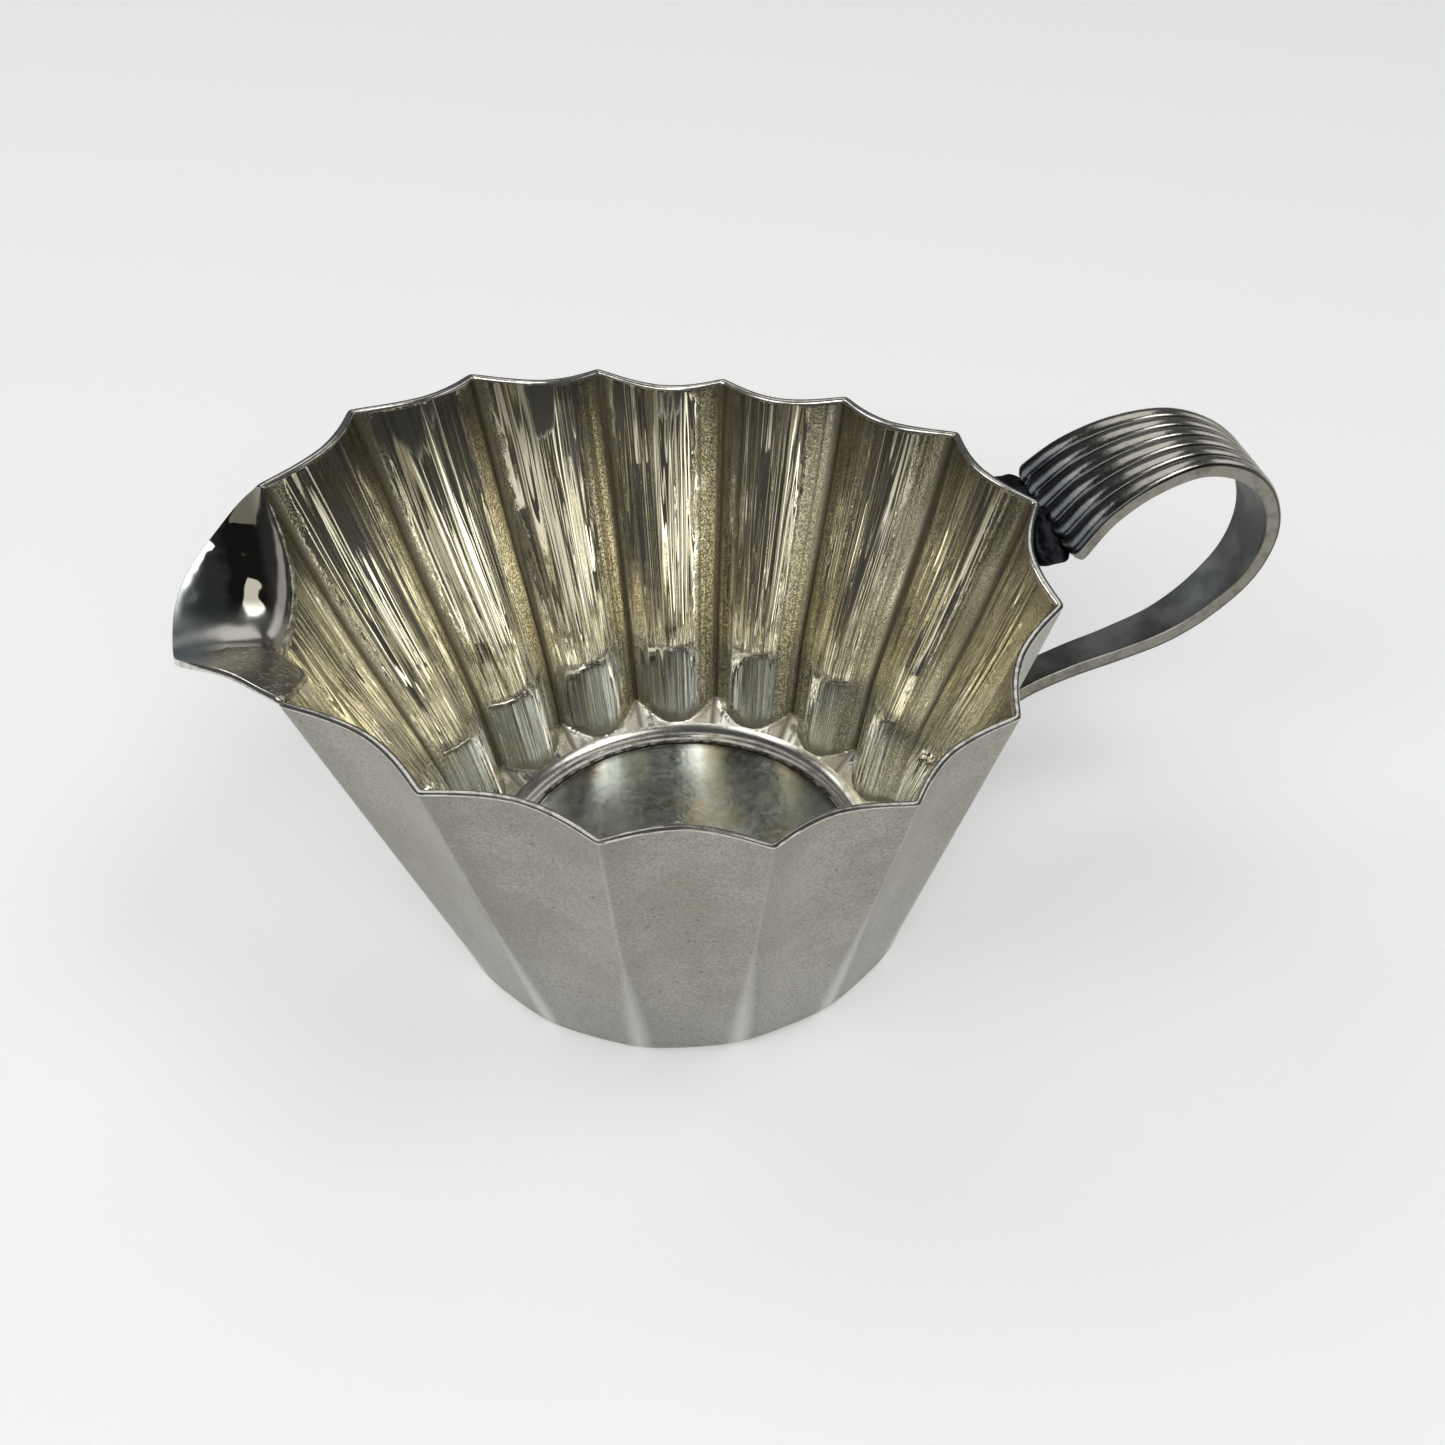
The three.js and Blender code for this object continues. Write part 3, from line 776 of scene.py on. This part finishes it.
def outer_rows(angle, top):
    """Under the base from the floor's edge, round the corner and up the outside."""
    flange = FLOOR_RADIUS + FLANGE_GAP
    corner = arris_radius(angle, CORNER_RADIUS) - CORNER_RADIUS
    for share in np.linspace(0, 1, 4, endpoint=False):
        yield lerp(flange, corner, share), 0, OUTSIDE
    for turn in np.linspace(0, np.pi / 2, 7, endpoint=False):
        z = CORNER_RADIUS * (1 - np.cos(turn))
        radius = corner + CORNER_RADIUS * np.sin(turn)
        yield hollowed(radius, angle, z, FLUTE_DEPTH_BASE, ARRIS_ROUNDING_BASE), z, OUTSIDE
    for share in np.append(np.linspace(0, 0.99, 40), 0.997):
        z = lerp(CORNER_RADIUS, top - ROUND_OVER, share)
        yield outer_radius(angle, z), z, OUTSIDE


def rim_rows(angle, top):
    """Over the rounded rim, from the outside to the inside."""
    for turn in np.linspace(0, np.pi / 2, 4):
        z = top - ROUND_OVER * (1 - np.sin(turn))
        yield outer_radius(angle, z) - ROUND_OVER * (1 - np.cos(turn)), z, RIM
    for turn in np.linspace(np.pi / 2, 0, 4):
        z = top - ROUND_OVER * (1 - np.sin(turn))
        yield inner_radius(angle, z) + ROUND_OVER * (1 - np.cos(turn)), z, RIM


def inner_rows(angle, top):
    """Down the ribs, which end in round tongues, and over the ledge to the floor's edge."""
    for share in np.append(0.003, np.linspace(0.01, 1, 34)):
        z = lerp(top - ROUND_OVER, RIB_FOOT, share)
        yield inner_radius(angle, z), z, INSIDE
    across = np.abs(1 - 2 * (angle / PITCH - np.floor(angle / PITCH)))
    rib_end = RIB_END + RIB_END_RISE * across**RIB_END_POWER
    for z in np.linspace(RIB_FOOT - 0.2, RIB_END - 0.3, 46):
        share = smoothstep(z, rib_end - 0.12, rib_end + 0.30)
        radius = lerp(fillet_radius(z), inner_radius(angle, z), share)
        yield radius, z, INSIDE if z > RIB_END else LEDGE
    for turn in np.linspace(FILLET_TURN, 0, 8):
        radius = FILLET_CENTRE[0] + FILLET_RADIUS * np.sin(turn)
        yield radius, FILLET_CENTRE[1] - FILLET_RADIUS * np.cos(turn), LEDGE
    yield FLOOR_RADIUS + FLANGE_GAP, FLANGE_TOP, OUTSIDE


def bowl_wall(angle):
    """Closed section of the wall at every angle, with the material slot of each step along it."""
    top = edge_height(angle)
    rows = [*outer_rows(angle, top), *rim_rows(angle, top), *inner_rows(angle, top)]
    columns = [wall_point(angle, radius, z + np.zeros_like(angle)) for radius, z, _ in rows]
    columns.append(columns[0])
    return np.stack(columns, axis=1), [slot for _, _, slot in rows]


def make_bowl(materials):
    angle = bowl_angles()
    points, slots = bowl_wall(angle)
    dents = waviness(points, DENT_SIZE, DENT_DEPTH, 1)
    inside = np.array([slot == INSIDE for slot in slots] + [False])
    centre_line = points * (1, 1, 0)
    away = centre_line / np.linalg.norm(centre_line, axis=-1, keepdims=True)
    points = points + away * (dents * inside)[..., None]
    texture = np.stack((
        np.broadcast_to((angle / PITCH)[:, None], points.shape[:2]),
        points[..., 2] / 100,
    ), axis=-1)
    piece = grid_object("bowl_wall", points, texture, materials, slots)
    settle(piece, "fluted_wall")


def lathe(name, profile, materials):
    """A body of revolution about Z from (radius, z) points in mm."""
    profile = np.asarray(profile, dtype=float)
    angle = np.linspace(0, 2 * np.pi, LATHE_STEPS + 1)
    ring = np.stack((np.cos(angle), np.sin(angle)), axis=-1)
    points = np.zeros((len(angle), len(profile), 3))
    points[..., :2] = ring[:, None, :] * profile[None, :, :1]
    points[..., 2] = profile[:, 1]
    texture = np.stack(np.broadcast_arrays(angle[:, None], profile[:, 1] / 100), axis=-1)
    return grid_object(name, points, texture, materials)


def make_floor_disc(material):
    """Floor disc, a little dished, its edge rounded off against the joint."""
    edge = FLOOR_RADIUS
    side = FLOOR_TOP - FLOOR_SIDE_BELOW_TOP
    profile = [(0, 0), (edge, 0), (edge, side)]
    profile += [(edge - FLOOR_ROUNDING * (1 - math.cos(t)), side + FLOOR_ROUNDING * math.sin(t))
                for t in np.linspace(0, math.pi / 2, 5)[1:]]
    profile += [(r, FLOOR_TOP - DISH_RIM_BELOW_TOP - DISH_DEPTH * (1 - (r / edge) ** 2))
                for r in np.linspace(edge - DISH_MARGIN, 0, 24)]
    piece = lathe("floor_plate", profile, [material])
    settle(piece, "floor_disc")


def make_floor_solder(material):
    """Thin line of solder round the floor disc."""
    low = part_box("floor_solder_ring")[0]
    radius = FLOOR_RADIUS + FLOOR_SOLDER_OUT
    height = low[2] / MM - FLOOR_SOLDER_SINK
    profile = [(radius + FLOOR_SOLDER_HALF_WIDTH * math.cos(t),
                height + FLOOR_SOLDER_HALF_HEIGHT * math.sin(t))
               for t in np.linspace(0, 2 * math.pi, 13)]
    piece = lathe("floor_solder_line", profile, [material])
    settle(piece, "floor_solder_ring")


# ---- pouring lip -----------------------------------------------------------------------------

LIP_TOP, LIP_RIM, LIP_UNDER = range(3)

LIP_LINES = 97
LIP_ROWS = 34
LIP_EDGE_STEPS = 6
LIP_SPREAD = 0.995
LIP_RISE = 0.3
LIP_FLARE = 0.35
LIP_LIFT = 0.03
EDGE_SMOOTHING = 9
FLARE_SMOOTHING = 14
SEAM_SMOOTHING = 16
CREASE_FADE = 0.3
WAVE_FADE = 0.2
WAVE_SIZE = 6.5
WAVE_HEIGHT = 0.16
LIP_THICKNESS = (1.2, 0.8)
LIP_EDGE_BULGE = 0.1
SEAM_SPREAD = 0.97
SEAM_STEPS = 220
SEAM_BELOW = 0.45
SEAM_ABOVE = 0.55
SEAM_COARSE_RAGS = 0.45
SEAM_FINE_RAGS = 0.25
SEAM_PROUD = 0.06
SEAM_SWELL = 0.20
SEAM_END_FADE = (0.03, 0.12)


def wall_middle(angle, z):
    return wall_point(angle, (outer_radius(angle, z) + inner_radius(angle, z)) / 2, z)


def lip_surface():
    """Middle surface of the lip: lines across it from the seam to the pouring edge."""
    across = np.linspace(-1, 1, LIP_LINES)
    angle = np.pi + across * PITCH * LIP_SPREAD
    seam_height = edge_height(angle)
    start = wall_middle(angle, seam_height)
    near_half = [(x, -y, z) for x, y, z in reversed(LIP_EDGE[:-1])]
    edge_path = [start[0], *LIP_EDGE, *near_half, start[-1]]
    end = smoothed(spline(edge_path, LIP_LINES), EDGE_SMOOTHING)
    chord = end - start
    reach = np.linalg.norm(chord, axis=-1, keepdims=True)
    up = wall_middle(angle, seam_height + 1) - start
    up = up / np.linalg.norm(up, axis=-1, keepdims=True) * reach
    first = start + LIP_RISE * up
    second = smoothed(end - LIP_FLARE * chord + reach * (0, 0, LIP_LIFT), FLARE_SMOOTHING)
    t = np.linspace(0, 1, LIP_ROWS)[None, :, None]
    crease = start - smoothed(start, SEAM_SMOOTHING)
    first = smoothed(first, SEAM_SMOOTHING)
    start, first, second, end = (p[:, None, :] for p in (start - crease, first, second, end))
    scoop = ((1 - t) ** 3 * start + 3 * t * (1 - t) ** 2 * first
             + 3 * t**2 * (1 - t) * second + t**3 * end)
    return scoop + crease[:, None, :] * (1 - smoothstep(t, 0.0, CREASE_FADE))


def smoothed(line, reach):
    """A line of points with its kinks rounded off and its ends kept."""
    kernel = np.hanning(2 * reach + 3)[1:-1]
    kernel /= kernel.sum()
    padded = np.concatenate((2 * line[:1] - line[reach:0:-1], line,
                             2 * line[-1:] - line[-2:-reach - 2:-1]))
    return np.stack([np.convolve(padded[:, k], kernel, "valid") for k in range(3)], axis=1)


def surface_normals(grid):
    along = np.gradient(grid, axis=1)
    across = np.gradient(grid, axis=0)
    normal = np.cross(along, across)
    return normal / np.maximum(np.linalg.norm(normal, axis=-1, keepdims=True), 1e-9)


def make_lip(materials):
    middle = lip_surface()
    share = np.linspace(0, 1, LIP_ROWS)
    inner = smoothstep(share, 0.0, WAVE_FADE) * smoothstep(share[::-1], 0.0, WAVE_FADE)
    middle[..., 2] += waviness(middle, WAVE_SIZE, WAVE_HEIGHT, 6) * inner
    normal = surface_normals(middle)
    thickness = np.linspace(*LIP_THICKNESS, LIP_ROWS)[None, :, None] / 2
    upper = middle + normal * thickness
    lower = middle - normal * thickness
    out = middle[:, -1] - middle[:, -2]
    out = out / np.maximum(np.linalg.norm(out, axis=-1, keepdims=True), 1e-9)
    edge = np.stack([
        middle[:, -1] + normal[:, -1] * LIP_THICKNESS[1] / 2 * np.cos(turn)
        + out * LIP_EDGE_BULGE * np.sin(turn)
        for turn in np.linspace(0, np.pi, LIP_EDGE_STEPS + 1)[1:-1]
    ], axis=1)
    points = np.concatenate((upper, edge, lower[:, ::-1], upper[:, :1]), axis=1)
    slots = [LIP_TOP] * (LIP_ROWS - 1) + [LIP_RIM] * LIP_EDGE_STEPS
    slots += [LIP_UNDER] * (LIP_ROWS - 1) + [LIP_TOP]
    flute = np.linspace(FLUTES / 2 - 1, FLUTES / 2 + 1, LIP_LINES)
    texture = np.stack((
        np.broadcast_to(flute[:, None], points.shape[:2]),
        points[..., 2] / 100,
    ), axis=-1)
    piece = grid_object("pouring_lip_sheet", points, texture, materials, slots)
    settle(piece, "pouring_lip")


def rags(across, closeness, line):
    """A random number from -1 to 1 for each place across the seam."""
    return np.array([noise.noise(Vector((place * closeness, line, 0))) for place in across])


def make_lip_seam(material):
    """Ragged edge of solder along the seam, just proud of the wall's inner face."""
    across = np.linspace(-SEAM_SPREAD, SEAM_SPREAD, SEAM_STEPS)
    angle = np.pi + across * PITCH
    coarse = rags(across, 19, 3.1)
    fine = rags(across, 60, 8.1)
    height = edge_height(angle)
    low = height - SEAM_BELOW + SEAM_COARSE_RAGS * coarse + SEAM_FINE_RAGS * fine
    high = height + SEAM_ABOVE
    ends = smoothstep(1 - np.abs(across), *SEAM_END_FADE)
    columns = []
    for turn in np.linspace(0, 2 * np.pi, 13):
        z = lerp(low, high, 0.5 - 0.5 * np.cos(turn))
        depth = SEAM_PROUD + SEAM_SWELL * np.sin(turn) * ends
        columns.append(wall_point(angle, inner_radius(angle, z) - depth, z))
    points = np.stack(columns, axis=1)
    texture = points[..., :2] / 100
    piece = grid_object("lip_seam_solder", points, texture, [material])
    settle(piece, "lip_solder_seam")


# ---- handle ----------------------------------------------------------------------------------

REEDED_FACE, STRAP_SIDE, INNER_FACE = range(3)

STRAP_ROWS = 200
REED_STEPS = 10
STRAP_CORNER_SHARE = 0.014
STRAP_CORNER_CUT = 2.6
STRAP_WAVE_SIZE = 7.0
STRAP_WAVES = 0.07
INNER_HOLLOW = 0.12
SOLDER_HALF_WIDTH = 10.0
LUMP_SHARE = 0.94


def strap_section():
    """Closed outline of the strap: across its width from -1 to 1, and distance out of the loop."""
    outline = []
    slots = []
    half = STRAP_THICKNESS / 2
    for reed in range(REEDS):
        for share in np.linspace(0, 1, REED_STEPS, endpoint=False):
            position = 2 * (0.5 - 0.5 * math.cos(math.pi * share)) - 1
            across = (2 * reed + 1 + position) / REEDS - 1
            outline.append((across, half + REED_HEIGHT * math.sqrt(1 - position**2)))
            slots.append(REEDED_FACE)
    side = [(1.0, half - 0.1), (1.0, 0.0), (1.0, -half + 0.3), (0.985, -half + 0.08),
            (0.95, -half)]
    outline += [(1.0, half)] + side
    slots += [STRAP_SIDE] * len(side) + [INNER_FACE]
    for across in np.linspace(0.8, -0.8, 9):
        outline.append((across, -half + INNER_HOLLOW * (1 - across**2)))
        slots.append(INNER_FACE)
    outline += [(-across, out) for across, out in reversed(side)]
    slots += [STRAP_SIDE] * len(side)
    outline.append(outline[0])
    return np.array(outline), slots


def make_strap(materials):
    path = spline([(x, 0, z) for x, z in STRAP_PATH], STRAP_ROWS)
    along = np.linspace(0, 1, STRAP_ROWS)
    tangent = np.gradient(path, axis=0)
    tangent /= np.linalg.norm(tangent, axis=1, keepdims=True)
    out = np.stack((-tangent[:, 2], np.zeros(STRAP_ROWS), tangent[:, 0]), axis=1)
    width = lerp(STRAP_WIDTH_LOW, STRAP_WIDTH_RIM, (1 - along) ** STRAP_TAPER)
    to_corner = 1 - np.clip(along / STRAP_CORNER_SHARE, 0, 1)
    width -= STRAP_CORNER_CUT * (1 - np.sqrt(1 - to_corner**2))
    outline, slots = strap_section()
    points = path[:, None, :] + out[:, None, :] * outline[None, :, 1:2]
    points[..., 1] += width[:, None] / 2 * outline[None, :, 0]
    dents = waviness(points, STRAP_WAVE_SIZE, STRAP_WAVES, 2) - STRAP_WAVES
    points = points + out[:, None, :] * dents[..., None]
    reeds = (outline[:, 0] + 1) / 2 * REEDS
    texture = np.stack(np.broadcast_arrays(reeds[None, :], along[:, None]), axis=-1)
    piece = grid_object("handle_reeded_strap", points, texture, materials, slots)
    settle(piece, "handle_strap")


def wall_x(y, z):
    """X of the wall's outer face beside the handle, found in a few rounds from a first guess."""
    x = np.full_like(y, 48.0)
    for _ in range(4):
        radius = outer_radius(np.arctan2(y, x), z)
        x = np.sqrt(radius**2 - y**2)
    return x


def make_rim_solder(material):
    """Dark mass of solder that fills the hollow between the wall and the strap's wide end."""
    y = np.linspace(0.1 - SOLDER_HALF_WIDTH, SOLDER_HALF_WIDTH - 0.1, 90)
    full = np.sqrt(np.clip(1 - (y / SOLDER_HALF_WIDTH) ** 2, 0, 1))
    low = 53.0 - 1.9 * full
    outline = (
        (wall_x(y, 54.2) - 0.2, 53.4 + 0.9 * full),
        (lerp(wall_x(y, 54.2), 50.2, 0.5), 53.0 + 0.9 * full),
        (np.full_like(y, 50.2), 53.5 + 0.5 * full),
        (np.full_like(y, 51.4), 53.4 + 0.2 * full),
        (51.2 + 1.2 * full, 52.9 + 0.3 * full),
        (50.6 + 0.9 * full, lerp(53.0, low, 0.55)),
        (lerp(wall_x(y, 51), 50.8, 0.45), low),
        (wall_x(y, 50.0) - 0.2, low - 0.4),
    )
    loop = np.stack([np.stack((x, y, z), axis=-1) for x, z in outline], axis=1)
    loop = np.concatenate((loop, loop[:, :1]), axis=1)
    points = refined(loop, 5)
    centre = loop[:, :-1].mean(axis=1)[:, None, :]
    swell = (0.25 + 0.75 * full)[:, None] * (1 + waviness(points, 1.5, 0.10, 3))
    points = centre + (points - centre) * swell[..., None]
    piece = grid_object("handle_rim_solder", points, points[..., :2] / 100, [material])
    settle(piece, "handle_upper_solder")


def refined(loop, parts):
    """Closed loops of few points made round: the same loops with parts steps from point to point."""
    count = loop.shape[1] - 1
    steps = np.arange(count * parts + 1) / parts
    near = np.floor(steps).astype(int)
    share = (steps - near)[None, :, None]
    a, b, c = (loop[:, (near + shift) % count] for shift in (-1, 0, 1))
    return (a * (1 - share) ** 2 + b * (1 + 2 * share - 2 * share**2) + c * share**2) / 2


def make_foot_solder(material):
    """Rough lump of solder under the strap's narrow end."""
    low, high = (np.array(corner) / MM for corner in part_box("handle_lower_solder"))
    turn = np.linspace(0, 2 * np.pi, 49)
    rise = np.linspace(-np.pi / 2, np.pi / 2, 25)
    turn, rise = np.meshgrid(turn, rise, indexing="ij")
    ball = np.stack((np.cos(rise) * np.cos(turn), np.cos(rise) * np.sin(turn), np.sin(rise)), -1)
    bulge = LUMP_SHARE + waviness(ball * 3, 1.2, 0.12, 4)
    points = (low + high) / 2 + ball * (high - low) / 2 * LUMP_SHARE * bulge[..., None]
    texture = np.stack((turn, rise), axis=-1)
    piece = grid_object("handle_foot_solder", points, texture, [material])
    settle(piece, "handle_lower_solder")


# ---- scene -----------------------------------------------------------------------------------


def build():
    make_camera()
    make_world()
    make_floor()
    for box in SOFT_BOXES:
        soft_box(*box)
    outside = outside_silver()
    inside = inside_silver()
    rim = worn_silver("rim_silver", *RIM_LOOK)
    ledge = worn_silver("ledge_silver", *LEDGE_LOOK)
    strap_side = worn_silver("strap_side", *STRAP_SIDE_LOOK)
    bright = solder_silver("bright_solder", *BRIGHT_SOLDER_LOOK)
    joint = solder_silver("joint_solder", *JOINT_SOLDER_LOOK)
    dark = solder_silver("dark_solder", *DARK_SOLDER_LOOK)
    make_bowl([outside, rim, inside, ledge])
    make_floor_disc(floor_silver())
    make_floor_solder(joint)
    make_lip([lip_silver(), rim, outside])
    make_lip_seam(bright)
    make_strap([handle_silver(), strap_side, handle_inner_silver()])
    make_rim_solder(dark)
    make_foot_solder(dark)
    bpy.context.scene.view_settings.view_transform = "Standard"


build()
